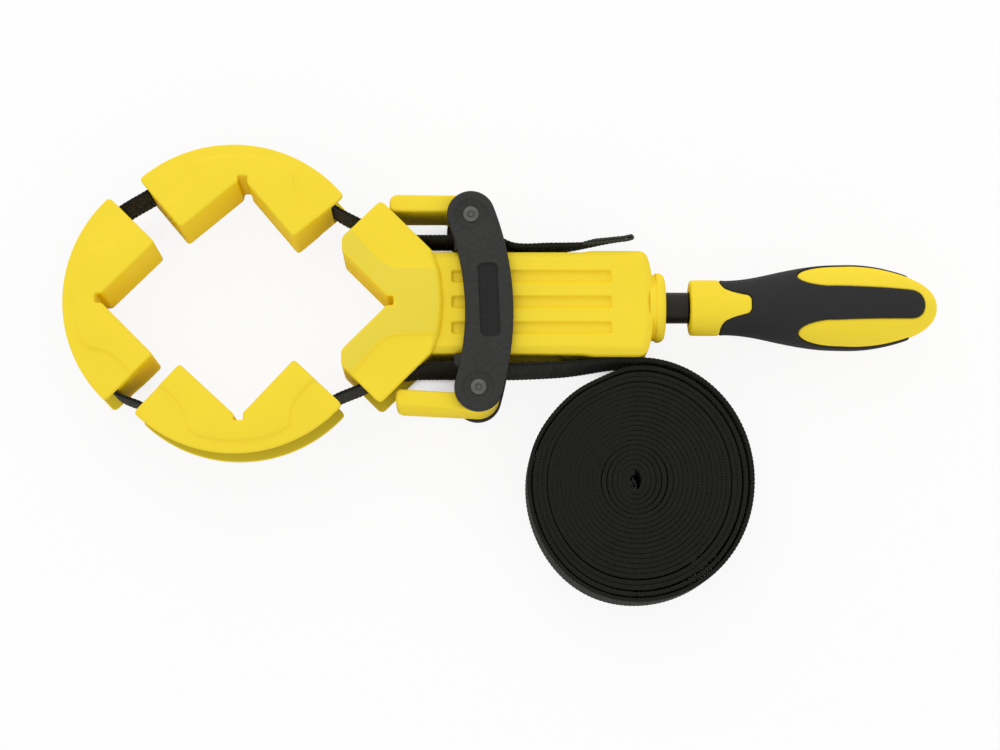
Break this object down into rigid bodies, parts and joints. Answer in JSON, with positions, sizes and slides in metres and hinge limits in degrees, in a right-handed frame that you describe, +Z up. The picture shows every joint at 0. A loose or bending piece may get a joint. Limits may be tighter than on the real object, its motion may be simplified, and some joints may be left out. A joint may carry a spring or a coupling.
{
  "type": "ratchet band clamp",
  "caption": "Band clamp: a strap round V jaws is drawn tight by a carriage on a screw with a turned handle; cam levers lock the strap.",
  "frame": {"origin": "middle of the box round the tool without the free band and its roll, on the surface that it lies on", "axes": "+X along the tool from the jaws to the handle, +Y to the right-hand side of a person who holds the handle and looks at the jaws, +Z up off the table"},
  "size_m": [0.3464, 0.18, 0.035],
  "materials": {
    "yellow_plastic": "satin moulded",
    "black_plate": "satin moulded",
    "soft_grip": "matte overmould",
    "band_weave": "ribbed nylon weave",
    "black_steel": "blackened and oiled",
    "bright_steel": "dull zinc plate",
    "nut_brass": "machined"
  },
  "bodies": {
    "housing": {"upper_housing": "yellow_plastic", "lower_housing": "yellow_plastic", "housing_screw_1": "bright_steel", "housing_screw_2": "bright_steel", "housing_screw_3": "bright_steel", "housing_screw_4": "bright_steel", "housing_screw_5": "bright_steel", "housing_screw_6": "bright_steel", "front_thrust_washer": "bright_steel", "rear_thrust_washer": "bright_steel", "band_loop": "band_weave", "band_side_right": "band_weave", "band_side_left": "band_weave"},
    "screw": {"drive_screw": "black_steel", "cross_pin": "bright_steel", "handle_core": "yellow_plastic", "handle_grip": "soft_grip"},
    "carriage": {"nut_block": "black_plate", "drive_nut": "nut_brass", "top_bridge": "black_plate", "bottom_bridge": "black_plate", "right_cam_pin": "bright_steel", "left_cam_pin": "bright_steel", "band_tail": "band_weave", "band_lead": "band_weave", "band_roll": "band_weave"},
    "right_lever": {"right_cam_lever": "yellow_plastic"},
    "left_lever": {"left_cam_lever": "yellow_plastic"},
    "right_v_jaw": {"right_jaw": "yellow_plastic"},
    "front_v_jaw": {"front_jaw": "yellow_plastic"},
    "left_v_jaw": {"left_jaw": "yellow_plastic"}
  },
  "joints": [
    {"name": "screw_turn", "type": "hinge", "parent": "housing", "child": "screw", "pos_m": [0.06, 0, 0.0175], "axis": [1, 0, 0], "range_deg": [-2880, 0]},
    {"name": "carriage_slide", "type": "slide", "parent": "housing", "child": "carriage", "axis": [1, 0, 0], "range_m": [0, 0.028], "deforming": ["band_side_right", "band_side_left"]},
    {"name": "right_lever_swing", "type": "hinge", "parent": "carriage", "child": "right_lever", "pos_m": [-0.01304, 0.03447, 0.0175], "axis": [0, 0, 1], "range_deg": [0, 12]},
    {"name": "left_lever_swing", "type": "hinge", "parent": "carriage", "child": "left_lever", "pos_m": [-0.01015, -0.03447, 0.0175], "axis": [0, 0, 1], "range_deg": [-8.4, 3.6]},
    {"name": "right_jaw_shift", "type": "hinge", "parent": "housing", "child": "right_v_jaw", "pos_m": [-0.10685, 0.00714, 0.0175], "axis": [0, 0, 1], "range_deg": [-9, 8]},
    {"name": "front_jaw_shift", "type": "hinge", "parent": "housing", "child": "front_v_jaw", "pos_m": [-0.11719, 0.001, 0.0175], "axis": [0, 0, 1], "range_deg": [-5, 1]},
    {"name": "left_jaw_shift", "type": "hinge", "parent": "housing", "child": "left_v_jaw", "pos_m": [-0.10533, -0.00412, 0.0175], "axis": [0, 0, 1], "range_deg": [-8, 9]}
  ],
  "couplings": [
    {"joint": "screw_turn", "follows": "carriage_slide", "rad_per_m": -1795.1}
  ]
}
